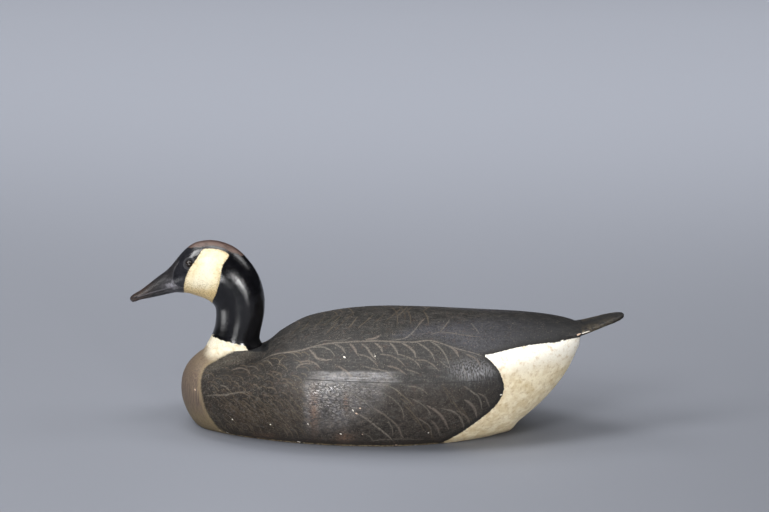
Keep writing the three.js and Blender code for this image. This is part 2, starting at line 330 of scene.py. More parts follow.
def near_line(piece, line, reach):
    """For each point of the piece, 1 on this line of points, and nearly 0 at twice the reach from it."""
    tree = tree_of(line)
    gaps = np.array([tree.find(vertex.co)[2] for vertex in piece.data.vertices])
    return np.exp(-((gaps / reach) ** 2))


def outward_of(piece):
    """Which way the skin faces at each point of the piece."""
    normals = np.empty(3 * len(piece.data.vertices), np.float32)
    piece.data.vertices.foreach_get("normal", normals)
    return normals.reshape(-1, 3)


def push(piece, depth):
    """Moves each point of the piece inwards by its own depth."""
    set_points(piece, points_of(piece) - outward_of(piece) * depth[:, None])


points = points_of(body)
by_the_nape = np.exp(-(((points[:, 0] - nape_place) / nape_reach) ** 2)) * (points[:, 2] > nape_foot)
rasp(body, nape_passes, by_the_nape * grade(np.abs(points[:, 1]), *nape_flank))
crease = cut_line(skin_of(body), crease_marks)
push(body, crease_depth * near_line(body, crease, crease_reach))

# The borders of the paint. White runs from the foot of the neck into tan on the breast, and the rump is
# white too. A slate patch lies over the wing's tip and a brown one on the mantle.

breast_border = [
    (246, 344), (246.5, 346.4), (240, 348.9), (230, 353), (222, 357), (215, 361), (207, 366), (203, 372),
    (201, 380), (201, 390), (203, 400), (206, 410), (212, 420), (219, 428.5), (229, 434.5), (233, 438),
    (234, 450), (234, 520), (60, 520), (60, 200), (244, 200), (245, 335),
]
rump_border = [
    (485, 355.2), (487, 355), (500, 352), (520, 347), (540, 343.8), (557, 342.4), (566, 340), (580, 337),
    (600, 330), (625, 321), (650, 322), (760, 400), (700, 520), (444, 520), (444, 450), (444.5, 442),
    (447, 440.6), (462, 432), (475, 423), (488, 413), (497, 404), (502, 396), (504, 388), (503, 381),
    (499, 371), (492, 362), (486, 357),
]
slate_border = [
    (392, 336), (410, 327), (440, 322), (500, 317), (545, 321), (560, 330), (550, 343), (520, 347),
    (500, 352), (484, 356), (465, 351), (450, 346), (435, 340), (425, 338.5), (405, 340),
]
mantle_border = [
    (264, 345), (256, 345), (247, 346), (240, 349.5), (230, 353.5), (215, 360), (207, 366), (203, 372),
    (206, 378), (212, 372), (222, 369), (232, 366), (243, 361), (254, 354),
]
neck_border = [
    (212, 335.7), (216, 338), (225, 341), (235, 344), (243, 345.4), (246, 347), (248, 350.5), (256, 352),
    (268, 350), (268, 338), (265, 200), (60, 200), (60, 332), (205, 334),
]
collar_border = [
    (214, 320), (260, 330), (258, 347), (247, 348.5), (238, 351), (228, 355), (218, 358), (210, 358),
    (206, 352), (208, 340),
]

# Where the coat changes from place to place. A slope is a pair of marks, from none of it to all of it.

open_joint = [(296, 312), (500, 470)]
umber_across, umber_down = (303, 262), (346, 360)
tail_black = (450, 560)
patch_sides, patch_top, patch_faded = [(300, 311), (394, 374)], (377, 384), (368, 336)
patch_foot, patch_foot_start, patch_foot_rise, patch_foot_soft = 440, 345, 0.55, 34
# The patch's top band, where a painted highlight lies.
band_sides, band_edges = [(300, 330), (406, 384)], [(370, 374), (386, 381)]
bare_foot = 4 * mm, 1.5 * mm
tail_rim_start, tail_rim_half = 262 * mm, 60 * mm

# Where handling has polished the wing's tip, which also carries a painted highlight, or rubbed the coat thin:
# the middle of each place, and how far it reaches across and down.

polished_highlit_tip = (474, 370, 22, 10)
rubbed_places = [(314, 410, 4, 20), (346, 402, 2, 9), (344, 438, 8, 5), (262, 436.5, 12, 2.5)]

# The feathers, put on with a thin brush: one long line over the wing, hooks that hang from it, and rows of
# shorter strokes below. Each stroke is a few marks in the picture.

bold_strokes = [
    [(264, 359), (272, 355), (282, 353), (300, 350.5), (312, 347), (325, 344), (340, 342.5), (360, 341.3),
     (380, 341), (400, 342), (415, 342), (427, 340.5), (437, 342), (449, 346), (462, 350), (475, 353.5),
     (486, 357.5), (492, 361)],
    [(395, 340), (405, 338), (412, 333), (418, 326)],
    [(366, 339.5), (375, 338), (381, 334.5)],
    [(310, 350), (314, 354), (317, 358), (325, 360), (333, 359)],
    [(312, 347.5), (322, 347), (330, 350), (335, 356)],
    [(335, 344), (342, 348), (346, 354)],
    [(350, 344), (354, 348), (357, 354)],
    [(362, 344), (367, 348), (371, 354), (376, 360)],
    [(375, 343), (380, 347), (383, 353)],
    [(390, 343), (394, 347), (397, 352), (398, 355)],
    [(402, 343), (409, 347), (414, 352), (416, 358)],
    [(418, 343), (426, 348), (432, 354), (435, 361)],
    [(430, 341), (438, 346), (444, 353), (448, 361), (450, 368)],
    [(449, 346), (455, 350), (459, 357)],
    [(357, 413), (368, 420), (378, 428), (388, 436), (395, 443)],
    [(428, 406), (436, 411), (443, 418), (449, 430)],
    [(444, 409), (452, 411), (459, 416), (463, 424), (464, 432)],
    [(465, 400), (471, 404), (475, 410), (477, 418)],
    [(471, 391), (478, 396), (481, 403), (482, 410)],
]
fine_strokes = [
    [(284, 357), (280, 361), (279, 366)],
    [(285, 352), (294, 354), (300, 359)],
    [(300, 362), (309, 361), (316, 364), (321, 369)],
    [(296, 368), (300, 365), (306, 363.5), (313, 364)],
    [(262, 361), (268, 361), (273, 366)],
    [(247, 366), (255, 367), (259, 371)],
    [(232, 370), (240, 368), (247, 370), (250, 374)],
    [(357, 354), (368, 357), (375, 363), (378, 368)],
    [(380, 354), (392, 356), (400, 361), (406, 367)],
    [(398, 354), (410, 358), (417, 363), (421, 369)],
    [(416, 360), (425, 360.5), (433, 365), (439, 371)],
    [(440, 361), (446, 366), (450, 368)],
    [(462, 363), (465, 372), (468, 381)],
    [(466, 354), (476, 359), (481, 367)],
    [(363, 366), (374, 369), (385, 371), (391, 376), (395, 381)],
    [(388, 366), (396, 368), (403, 372), (407, 375)],
    [(405, 369), (412, 371), (420, 374)],
    [(338, 366), (346, 371), (352, 377)],
    [(345, 390), (358, 397), (368, 405), (372, 410)],
    [(375, 409), (383, 414), (391, 420), (398, 427), (402, 436), (407, 441)],
    [(382, 384), (391, 387), (398, 391), (402, 396)],
    [(408, 386), (416, 387), (423, 390), (428, 395)],
    [(385, 394), (393, 399), (400, 406), (403, 413), (404, 421)],
    [(410, 398), (420, 403), (428, 410), (432, 418)],
    [(418, 418), (424, 422), (430, 427), (432, 436)],
    [(432, 421), (437, 427), (440, 436)],
    [(388, 421), (392, 428), (393, 436)],
    [(378, 427), (386, 434), (393, 440)],
    [(362, 432), (370, 437), (374, 443)],
    [(371, 441), (385, 439.5), (400, 439), (425, 439.5)],
    [(457, 411), (463, 414), (468, 419), (470, 426)],
    [(478, 393), (485, 397), (488, 403), (490, 408)],
    [(464, 386), (470, 390), (475, 395)],
    [(220, 385), (226, 387), (230, 391)],
    [(206, 396), (215, 395), (225, 395), (235, 393), (245, 392), (250, 394)],
    [(432, 334), (440, 332), (452, 333), (466, 335.5), (482, 337)],
    [(440, 332), (445, 326), (450, 319)],
    [(418, 326), (421, 322), (425, 318)],
    [(471, 323), (476, 329), (480, 334)],
    [(345, 340), (352, 337)],
    [(316, 344), (324, 340.7), (335, 341), (348, 340.3)],
]
wavering = np.random.default_rng(17)
stroke_step = 0.8
stroke_overrun = 0.45  # how far past its ends a stroke's map runs, as a share of its length
off_stroke = (9, 0)  # the map's place where no stroke is near


def spray(start, end, count, turns, length, sag):
    """Strokes that start side by side between two marks and fan out, with their angles in degrees."""
    fan = []
    for f in np.linspace(0, 1, count):
        root = np.array(start) + f * (np.array(end) - start) + wavering.normal(0, 1.2, 2)
        angle = math.radians(turns[0] + f * (turns[1] - turns[0]) + wavering.normal(0, 3))
        way = np.array((math.cos(angle), math.sin(angle)))
        long = length * wavering.uniform(0.6, 1.25)
        fan.append([root, root + way * long / 2 + (0, sag * 0.25), root + way * long + (0, sag)])
    return fan


def hooks(start, end, count, size, turn):
    """A row of small strokes that set out along a turn in degrees and hook downwards, with some left out."""
    row = []
    for f in np.linspace(0, 1, count):
        root = np.array(start) + f * (np.array(end) - start) + wavering.normal(0, 1.3, 2)
        long = size * wavering.uniform(0.6, 1.3)
        angle = math.radians(turn + wavering.normal(0, 9))
        ahead = np.array((math.cos(angle), math.sin(angle))) * long
        bend, tip = root + ahead * 0.85 + (0, long * 0.2), root + ahead + (0, long * 0.55)
        if wavering.random() < 0.85:
            row.append([root, root + ahead * 0.5, bend, tip])
    return row


# Fans on the back, on the flank and beside the breast, one long line, and rows of hooks below the nape.

faint_strokes = [
    *spray((325, 333), (420, 312), 9, (-42, -30), 20, -2),
    *spray((290, 336), (345, 320), 6, (-40, -30), 16, -2),
    *spray((395, 392), (430, 432), 8, (35, 62), 20, 4),
    *spray((440, 385), (480, 430), 8, (40, 75), 16, 4),
    *spray((207, 410), (226, 431), 8, (30, 48), 11, 2),
    *spray((214, 400), (290, 397), 16, (34, 44), 26, 4),
    *spray((228, 414), (292, 411), 11, (30, 40), 20, 3),
    [(247, 393), (258, 399), (268, 407), (279, 414), (291, 424)],
]
for down in range(11):
    start = (206 + 2.2 * down, 374 + 5.6 * down)
    end = (300, 352 + 7.4 * down)
    faint_strokes += hooks(start, end, count=14, size=8.5, turn=2 + 3 * down)

# Chips in the paint. Each is one short dab.

chips = [
    [(343.5, 356.5), (345.5, 358)], [(352.5, 409.5), (353.5, 411.5)], [(355.5, 413), (357.5, 414)],
    [(359.5, 408), (361, 408.6)], [(307.6, 423.4), (308.4, 424.8)], [(340, 433.5), (341.5, 434.5)],
    [(395, 445), (397.5, 445)], [(414.5, 445), (417, 445.2)], [(500, 395), (502.5, 394.6)],
    [(375, 355.8), (375.2, 356.4)], [(270, 424.3), (271, 424.8)], [(232, 419), (233, 420)],
    [(428, 432.5), (429, 433)], [(362, 434), (363, 434.8)], [(560.5, 341.5), (563.5, 340)],
    [(577, 335), (581, 333.6)], [(582, 333.4), (590, 331)], [(194.6, 389), (195.6, 390.5)],
    [(226, 432), (229, 433.2)], [(219, 430), (221, 430.6)], [(232, 435.2), (235, 436)],
    [(297, 441.6), (301, 442)],
]


def stroke_points(strokes, skin, hand):
    """Where the strokes run over the skin of both sides, with their directions, lengths and numbers. Those of
    the far side are shifted a little, as the hand wavers."""
    spots = []
    number = 0
    for side in (-1, 1):
        for marks in strokes:
            moved = hand.normal(0, 0.9, 2) * (side > 0)
            found = on_skin(skin, flowing(marks, stroke_step) + moved, side)
            if len(found) < 2:
                continue
            points = np.array([point for point, _ in found])
            outward = np.array([normal for _, normal in found])
            ahead = np.gradient(points, axis=0)
            ahead /= np.linalg.norm(ahead, axis=1)[:, None]
            run = np.concatenate(([0], np.cumsum(np.linalg.norm(np.diff(points, axis=0), axis=1))))
            length, numbers = np.full(len(run), run[-1]), np.full(len(run), number)
            spots.append((points, ahead, np.cross(outward, ahead), run, length, numbers))
            number += 1
    return [np.concatenate(column) for column in zip(*spots)]


def lay_strokes(piece, layer, strokes, skin, half_width, hand):
    """Gives the corners of the piece's faces their place on the nearest stroke. The map's first number runs
    across it, from -1 to 1. The second is twice the stroke's own number plus the share of the way along."""
    points, ahead, across, run, length, numbers = stroke_points(strokes, skin, hand)
    tree = tree_of(points)
    faces = piece.data.polygons
    found = [tree.find(face.center) for face in faces]
    nearest = np.array([hit[1] for hit in found])
    clear = np.array([hit[2] for hit in found]) > half_width + 3 * body_grain
    corners = np.empty(len(piece.data.loops), int)
    piece.data.loops.foreach_get("vertex_index", corners)
    counts = np.empty(len(faces), int)
    faces.foreach_get("loop_total", counts)
    spot = np.repeat(nearest, counts)
    gap = points_of(piece)[corners] - points[spot]
    sideways = (gap * across[spot]).sum(axis=1) / half_width
    along = (run[spot] + (gap * ahead[spot]).sum(axis=1)) / length[spot]
    along = np.clip(along, -stroke_overrun, 1 + stroke_overrun)
    placed = np.column_stack((sideways, 2 * numbers[spot] + along))
    placed[np.repeat(clear, counts)] = off_stroke
    chart = piece.data.uv_layers.new(name=layer, do_init=False)
    chart.data.foreach_set("uv", placed.astype(np.float32).ravel())


# The paint of the body: lean oil paint over primer, brushed out thin, gone dull and crazed with age, rubbed
# through along the edges and touched up on the rump.


def tint(red, green, blue):
    """A colour as a painter would match it on a screen, from 0 to 255."""
    return tuple(((value / 255 + 0.055) / 1.055) ** 2.4 for value in (red, green, blue)) + (1,)


class Paint:
    """A paint finish mixed from shader nodes. Sizes are in millimetres."""

    def __init__(self, name):
        self.material = bpy.data.materials.new(name)
        self.material.use_nodes = True
        self.tree = self.material.node_tree
        self.shader = self.tree.nodes["Principled BSDF"]
        self.place = self.add("ShaderNodeTexCoord").outputs["Object"]

    def add(self, kind, inputs=None, **settings):
        node = self.tree.nodes.new(kind)
        for name, value in settings.items():
            setattr(node, name, value)
        for key, value in (inputs or {}).items():
            self.feed(node.inputs[key], value)
        return node

    def feed(self, socket, value):
        if isinstance(value, bpy.types.NodeSocket):
            self.tree.links.new(value, socket)
        else:
            socket.default_value = value

    def maths(self, operation, a, b=0.0, c=0.0):
        return self.add("ShaderNodeMath", {0: a, 1: b, 2: c}, operation=operation).outputs[0]

    def times(self, a, b):
        return self.maths("MULTIPLY", a, b)

    def plus(self, a, b):
        return self.maths("ADD", a, b)

    def part(self, value, factor, added):
        """The value times a factor, plus what is added."""
        return self.maths("MULTIPLY_ADD", value, factor, added)

    def grade(self, value, low, high, to_low=0.0, to_high=1.0):
        """As the function grade does, but from one number to another."""
        inputs = {0: value, 1: low, 2: high, 3: to_low, 4: to_high}
        return self.add("ShaderNodeMapRange", inputs, interpolation_type="SMOOTHSTEP").outputs[0]

    def mix(self, share, under, over):
        """One colour laid over another, by its share."""
        return self.add("ShaderNodeMix", {0: share, 6: under, 7: over}, data_type="RGBA").outputs[2]

    def blend(self, share, under, over):
        """The same for a plain number."""
        return self.add("ShaderNodeMix", {0: share, 2: under, 3: over}).outputs[0]

    def field(self, name):
        """The number that lay_field kept under this name."""
        return self.add("ShaderNodeAttribute", attribute_name=name).outputs["Fac"]

    def finish(self, colour, rough, relief, depth, strength):
        """Puts the finished colour, roughness and relief on the shader."""
        self.feed(self.shader.inputs["Base Color"], colour)
        self.feed(self.shader.inputs["Roughness"], rough)
        bump = self.add("ShaderNodeBump", {"Height": relief, "Distance": depth, "Strength": strength})
        self.feed(self.shader.inputs["Normal"], bump.outputs[0])
        return self.material

    def scaled(self, size, stretch=(1, 1, 1), shift=0.0):
        """The place on the piece, measured in lengths of this size."""
        scale = tuple(1 / (size * mm * way) for way in stretch)
        inputs = {0: self.place, 1: scale, 2: (shift, 3.7 * shift, 1.9 * shift)}
        return self.add("ShaderNodeVectorMath", inputs, operation="MULTIPLY_ADD").outputs[0]

    def noise(self, size, detail=3.0, rough=0.55, stretch=(1, 1, 1), shift=0.0):
        """Blotches of this size, drawn out along the ways that are stretched."""
        place = self.scaled(size, stretch, shift)
        inputs = {"Vector": place, "Scale": 1.0, "Detail": detail, "Roughness": rough}
        return self.add("ShaderNodeTexNoise", inputs).outputs["Fac"]

    def crack_gap(self, size, stretch=(1, 1, 1), shift=0.0):
        """How far a place is from the nearest crack of a network with cells of this size."""
        inputs = {"Vector": self.scaled(size, stretch, shift), "Scale": 1.0}
        cells = self.add("ShaderNodeTexVoronoi", inputs, feature="DISTANCE_TO_EDGE")
        return cells.outputs["Distance"]

    def brushed(self, layer, soft=1.0, dry=0.22, size=1.8):
        """How much paint the strokes of a layer leave, from 0 to 1, and a chance number for each stroke."""
        chart = self.add("ShaderNodeUVMap", uv_map=layer).outputs[0]
        parts = self.add("ShaderNodeSeparateXYZ", {0: chart}).outputs
        number = self.maths("FLOOR", self.part(parts[1], 0.5, 0.25))
        along = self.part(number, -2.0, parts[1])
        chance = self.add("ShaderNodeTexWhiteNoise", {"W": number}, noise_dimensions="1D").outputs[0]
        taper = self.times(self.grade(along, -0.05, 0.14), self.grade(along, 1.03, 0.6))
        width = self.times(self.maths("SQRT", taper), self.grade(chance, 0.0, 1.0, 0.7, 1.1))
        edge = self.maths("DIVIDE", self.maths("ABSOLUTE", parts[0]), self.maths("MAXIMUM", width, 0.01))
        body_of_stroke = self.grade(edge, 1.0, 1.0 - soft)
        streaks = self.grade(self.noise(size, 2.0), 0.5 - dry, 0.55 - dry * 0.2)
        return self.times(body_of_stroke, streaks), chance


def body_paint():
    paint = Paint("body_paint")
    height = paint.add("ShaderNodeSeparateXYZ", {0: paint.place}).outputs[2]
    broad = paint.noise(42, 3)
    patchy = paint.noise(13, 4, 0.6, shift=3)
    mottle = paint.noise(6, 4, 0.62, shift=23)
    speckle = paint.noise(2.2, 3, 0.65, shift=7)
    salt = paint.noise(1.3, 2, 0.7, shift=31)
    grain = paint.noise(1.5, 3, 0.6, (22, 1, 1), shift=5)
    brush = paint.noise(2.0, 3, 0.6, (1, 1, 12), shift=13)
    bristles = paint.noise(2.6, 3, 0.65, (5, 1, 2), shift=19)
    wobble = paint.part(paint.noise(2.6, 3, 0.6, shift=11), 2.4, -1.2)
    flaws = paint.noise(1.7, 2, 0.7, (2.4, 1, 1.2), shift=41)
    streaks = paint.noise(3.2, 3, 0.62, (8, 1, 1), shift=37)
    combed = paint.noise(1.5, 2, 0.6, (1, 1, 7), shift=29)
    gloss = paint.field("gloss")
    crazed = paint.field("crazed")
    off_band = paint.grade(paint.field("band"), 1.0, 0.0)

    # Umber in front, lamp black and umber over the rest, bluer behind. Both are painted lighter low down, a
    # painted reflection of the pale table in the lower flank.
    brown = paint.mix(paint.grade(mottle, 0.35, 0.65), tint(15, 11, 7), tint(33, 26, 19))
    brown = paint.mix(paint.grade(height, 75 * mm, 30 * mm, 0.0, 0.6), brown, tint(52, 42, 31))
    black = paint.mix(paint.grade(patchy, 0.3, 0.7), tint(27, 26, 25), tint(41, 38, 36))
    black = paint.mix(paint.grade(height, 100 * mm, 80 * mm, 0.0, 0.7), black, tint(57, 50, 43))
    coat = paint.mix(paint.field("umber"), black, brown)
    coat = paint.mix(paint.grade(broad, 0.5, 0.7, 0.0, 0.5), coat, tint(38, 38, 33))
    slate = paint.grade(paint.field("slate"), -5.0, 9.0)
    slate = paint.times(slate, paint.grade(patchy, 0.0, 0.5, 0.4, 0.9))
    coat = paint.mix(slate, coat, tint(56, 56, 62))
    mantle = paint.grade(paint.plus(paint.field("mantle"), wobble), -5.0, 7.0)
    coat = paint.mix(paint.times(mantle, 0.75), coat, tint(68, 63, 54))
    coat = paint.mix(paint.grade(mottle, 0.54, 0.72, 0.0, 0.45), coat, tint(66, 48, 40))
    coat = paint.mix(paint.grade(bristles, 0.5, 0.7, 0.0, 0.5), coat, tint(76, 73, 69))
    coat = paint.mix(paint.grade(bristles, 0.46, 0.3, 0.0, 0.5), coat, tint(20, 18, 16))
    coat = paint.mix(paint.grade(mottle, 0.46, 0.34, 0.0, 0.5), coat, tint(18, 15, 12))
    coat = paint.mix(paint.grade(speckle, 0.48, 0.34, 0.0, 0.7), coat, tint(16, 14, 12))
    coat = paint.mix(paint.grade(speckle, 0.55, 0.72, 0.0, 0.5), coat, tint(94, 90, 84))
    coat = paint.mix(paint.times(paint.field("tail_coat"), 0.85), coat, tint(13, 13, 15))
    # Painted shade darkens the carved crease between the mantle and the wing.
    coat = paint.mix(paint.times(paint.field("crease"), 0.8), coat, tint(22, 20, 18))
    sunk = paint.times(paint.grade(height, 95 * mm, 60 * mm), paint.grade(mottle, 0.52, 0.38))
    coat = paint.mix(paint.times(sunk, 0.55), coat, tint(24, 17, 12))
    flecks = paint.times(paint.grade(salt, 0.62, 0.72), paint.grade(patchy, 0.35, 0.55))
    coat = paint.mix(paint.times(flecks, 0.7), coat, tint(140, 130, 114))

    # The crazed patch where hands have polished the side: grey, cracked through, and brown along its front,
    # with painted highlights and painted glints on it.
    grey = paint.mix(paint.grade(mottle, 0.35, 0.65), tint(88, 86, 88), tint(114, 109, 104))
    coat = paint.mix(paint.times(crazed, paint.grade(patchy, 0.35, 0.6, 0.45, 0.95)), coat, grey)
    # Light streaks along the patch's top band are a painted highlight.
    shine = paint.times(paint.field("band"), paint.grade(streaks, 0.42, 0.6))
    coat = paint.mix(paint.times(shine, 0.45), coat, tint(132, 131, 133))
    # Light combed streaks on the wing's tip are a painted highlight.
    tip_sheen = paint.times(paint.field("wing_tip"), paint.grade(combed, 0.35, 0.65))
    coat = paint.mix(paint.times(tip_sheen, 0.85), coat, tint(128, 127, 130))
    # Light specks over the patch are painted glints.
    painted_glints = paint.times(paint.grade(flaws, 0.52, 0.68, 0.0, 0.55), paint.part(off_band, 0.8, 0.2))
    coat = paint.mix(paint.times(crazed, painted_glints), coat, tint(150, 147, 144))
    stained = paint.grade(flaws, 0.46, 0.32, 0.0, 0.7)
    coat = paint.mix(paint.times(crazed, stained), coat, tint(34, 32, 32))
    cracks = paint.grade(paint.crack_gap(3.6, (1.5, 1, 1), shift=4), 0.17, 0.04)
    cracks = paint.times(cracks, paint.grade(mottle, 0.3, 0.5))
    cracks = paint.times(cracks, paint.part(off_band, 0.6, 0.4))
    cracked = paint.maths("MAXIMUM", crazed, paint.grade(broad, 0.5, 0.7, 0.0, 0.35))
    cracks = paint.times(cracks, cracked)
    coat = paint.mix(paint.times(cracks, 0.65), coat, tint(22, 20, 19))
    rubbed = paint.times(paint.field("rubbed"), paint.grade(flaws, 0.36, 0.56))
    coat = paint.mix(paint.times(rubbed, 0.65), coat, tint(110, 86, 70))

    # The feathers, each stroke a little lighter or darker than the next, and standing up a little.
    relief = paint.times(speckle, paint.part(gloss, -0.7, 1.0))
    relief = paint.part(cracks, -0.5, paint.part(grain, 0.8, relief))
    for layer, strength, colour, other in (
        ("faint", 0.65, tint(80, 66, 48), tint(88, 78, 64)),
        ("fine", 0.5, tint(122, 116, 105), tint(112, 100, 90)),
        ("bold", 0.57, tint(134, 128, 117), tint(122, 110, 100)),
    ):
        laid, chance = paint.brushed(layer)
        laid = paint.times(laid, paint.grade(chance, 0.0, 1.0, strength * 0.65, strength))
        coat = paint.mix(laid, coat, paint.mix(chance, colour, other))
        relief = paint.part(laid, 0.5, relief)

    # A black line edges the wing. Low down the coat is dark and stained, and its bottom edge is bare.
    outline = paint.grade(paint.field("rump"), -5.0, -1.2)
    coat = paint.mix(paint.times(outline, 0.8), coat, tint(22, 20, 18))
    low = paint.grade(paint.part(mottle, -16 * mm, height), 6 * mm, -3 * mm)
    coat = paint.mix(paint.times(low, 0.75), coat, tint(30, 25, 20))
    rusty = paint.grade(speckle, 0.52, 0.75, 0.0, 0.6)
    coat = paint.mix(paint.times(low, rusty), coat, tint(84, 56, 40))
    worn = paint.times(paint.field("edge"), paint.grade(mottle, 0.36, 0.56))
    bare = paint.mix(paint.grade(speckle, 0.4, 0.65), tint(110, 82, 56), tint(188, 178, 144))
    coat = paint.mix(worn, coat, bare)

    # The breast: white round the foot of the neck, and tan brushed up and down below it. The tan is painted
    # darker lower down, partly painted shade on the breast's lower side, and yellower at the bottom.
    tan = paint.mix(paint.grade(height, 70 * mm, 100 * mm), tint(80, 68, 60), tint(116, 102, 84))
    tan = paint.mix(paint.grade(height, 45 * mm, 10 * mm), tan, tint(112, 99, 70))
    tan = paint.mix(paint.grade(brush, 0.35, 0.65, 0.0, 0.5), tan, tint(124, 108, 88))
    tan = paint.mix(paint.grade(brush, 0.5, 0.3, 0.0, 0.45), tan, tint(76, 62, 54))
    tan = paint.mix(paint.grade(mottle, 0.5, 0.7, 0.0, 0.4), tan, tint(92, 72, 60))
    tan = paint.mix(paint.grade(paint.field("breast"), 5.0, 0.5, 0.0, 0.3), tan, tint(150, 134, 98))
    white = paint.grade(paint.part(mottle, 10.0, paint.field("collar")), 0.0, 13.0)
    chalk = paint.mix(paint.grade(patchy, 0.4, 0.7), tint(218, 209, 186), tint(196, 181, 148))
    chalk = paint.mix(paint.grade(mottle, 0.52, 0.72, 0.0, 0.6), chalk, tint(150, 132, 104))
    breast = paint.mix(white, tan, chalk)

    # The rump: white under the back and cream to ochre lower down, blotched and pitted. It is whiter high up
    # and darker near the bottom, partly painted light and shade.
    rump = paint.mix(paint.grade(patchy, 0.35, 0.65), tint(244, 231, 200), tint(222, 203, 164))
    rump = paint.mix(paint.grade(height, 85 * mm, 125 * mm), rump, tint(246, 241, 228))
    rump = paint.mix(paint.grade(mottle, 0.48, 0.72, 0.0, 0.6), rump, tint(190, 162, 116))
    rump = paint.mix(paint.grade(salt, 0.6, 0.78, 0.0, 0.5), rump, tint(140, 124, 100))
    rump = paint.mix(paint.grade(height, 12 * mm, 3 * mm, 0.0, 0.5), rump, tint(128, 110, 82))

    on_breast = paint.grade(paint.plus(paint.field("breast"), wobble), -1.2, 1.2)
    on_rump = paint.grade(paint.plus(paint.field("rump"), wobble), -0.4, 0.4)
    colour = paint.mix(on_rump, paint.mix(on_breast, coat, breast), rump)
    ragged = paint.part(paint.noise(4.0, 2, 0.5, shift=17), 3.0, -1.5)
    on_neck = paint.grade(paint.plus(paint.field("neck"), ragged), -0.3, 0.3)
    colour = paint.mix(on_neck, colour, tint(12, 12, 14))

    # Chips down to the primer, some to the wood.
    chipped, chance = paint.brushed("chips", 0.5, 0.6, 1.0)
    under = paint.mix(paint.grade(chance, 0.7, 0.75), tint(236, 229, 216), tint(204, 178, 156))
    colour = paint.mix(chipped, colour, under)

    # Along the joint the paint has cracked into a dark hairline.
    off_joint = paint.maths("ABSOLUTE", paint.maths("SUBTRACT", height, glue_line))
    joint = paint.grade(off_joint, 0.8 * mm, 0.2 * mm)
    joint = paint.times(joint, paint.field("cracked"))
    colour = paint.mix(paint.times(joint, 0.85), colour, tint(24, 21, 18))

    # Lean and dull, but polished on the crazed patch and the wing's tip.
    polished = paint.grade(streaks, 0.4, 0.62, 0.45, 0.22)
    rough = paint.blend(gloss, paint.grade(patchy, 0.3, 0.75, 0.55, 0.7), polished)
    rough = paint.blend(paint.field("umber"), rough, 0.9)
    rough = paint.blend(paint.maths("MAXIMUM", on_rump, on_breast), rough, 0.6)
    paint.feed(paint.shader.inputs["Specular IOR Level"], 0.42)
    return paint.finish(colour, rough, relief, depth=0.4 * mm, strength=0.9)


def within(value, slopes):
    """1 where all these slopes are at their top, and 0 outside any of them."""
    return np.prod([grade(value, *slope) for slope in slopes], axis=0)


def at_places(seen, places):
    """1 in the middle of these places in the picture, and falling smoothly away outside them. A place is its
    middle, and how far it reaches across and down."""
    gaps = [(((seen - place[:2]) / place[2:]) ** 2).sum(axis=1) for place in np.array(places, float)]
    return np.exp(-np.min(gaps, axis=0))


def lay_body_fields(piece):
    """Keeps what the body's paint reads: the borders, the painted shade along the crease, the places of
    painted highlights, and where the coat changes.
    """
    points = points_of(piece)
    seen = seen_at(points)
    across, down = seen.T
    lay_borders(
        piece,
        breast=breast_border,
        rump=rump_border,
        slate=slate_border,
        mantle=mantle_border,
        neck=neck_border,
        collar=collar_border,
    )
    lay_field(piece, "crease", near_line(piece, crease, crease_reach))
    lay_field(piece, "cracked", within(across, open_joint))
    lay_field(piece, "umber", grade(across, *umber_across) * grade(down, *umber_down))
    lay_field(piece, "tail_coat", grade(across, *tail_black))

    foot = patch_foot - patch_foot_rise * np.maximum(across - patch_foot_start, 0)
    patch = within(across, patch_sides) * grade(down, *patch_top) * grade(down, foot, foot - patch_foot_soft)
    patch *= 0.6 + 0.4 * grade(across, *patch_faded)
    band = within(across, band_sides) * within(down, band_edges)
    crazed = np.maximum(patch, band)
    wing_tip = at_places(seen, [polished_highlit_tip])
    lay_field(piece, "crazed", crazed)
    lay_field(piece, "band", band)
    lay_field(piece, "wing_tip", wing_tip)
    lay_field(piece, "gloss", np.maximum(crazed, 0.8 * wing_tip))
    lay_field(piece, "rubbed", at_places(seen, rubbed_places))

    tail_rim = grade(np.abs(points[:, 1]), 0, tail_rim_half) * (points[:, 0] > tail_rim_start)
    lay_field(piece, "edge", np.maximum(0.8 * grade(points[:, 2], *bare_foot), 0.5 * tail_rim))


# The strokes of each layer, and half their width.

brushwork = {
    "bold": (bold_strokes, 2.5 * mm),
    "fine": (fine_strokes, 2.0 * mm),
    "faint": (faint_strokes, 1.5 * mm),
    "chips": (chips, 1.1 * mm),
}
smooth_edge = math.radians(50)
body_coat = body_paint()
body_skin = skin_of(body)
upper_body = duplicate(body, "upper_plank")
saw(upper_body, glue_line + glue_gap, keep_below=False)
lower_body = body
lower_body.name = "lower_plank"
saw(lower_body, glue_line - glue_gap, keep_below=True)

for piece in (lower_body, upper_body):
    lay_body_fields(piece)
    hand = np.random.default_rng(5)
    for layer, (strokes, half_width) in brushwork.items():
        lay_strokes(piece, layer, strokes, body_skin, half_width, hand)
    piece.data.materials.clear()
    piece.data.materials.append(body_coat)
    take_up(piece)
    bpy.ops.object.shade_smooth_by_angle(angle=smooth_edge)
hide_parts("lower_body")
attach(lower_body, "root")
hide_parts("upper_body")
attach(upper_body, "root")

# The head and neck. One block of pine with the grain running towards the bill, carved and set on the flat
# seat of the upper plank.

head_grain = 0.9 * mm  # size of the smallest facet left on the head
head_passes = 30
foot_spare = 8 * mm  # left below the foot while the head is worked, and sawn off after
glue_film = 0.05 * mm  # between the foot of the neck and its seat, which is cut a hair deeper than the blank
bill_start = -255 * mm
bill_slope, bill_share = (bill_start - 20 * mm, bill_start + 25 * mm), 0.03  # the bill is hardly rasped
bill_swell = bill_start + 22 * mm, bill_start + 4 * mm
bill_tip = bill_start - 42 * mm, bill_start - 52 * mm
fuller_above = 0.7 * mm, 1.2 * mm  # along the bill and at its tip
fuller_below = 1.5 * mm, 2.2 * mm

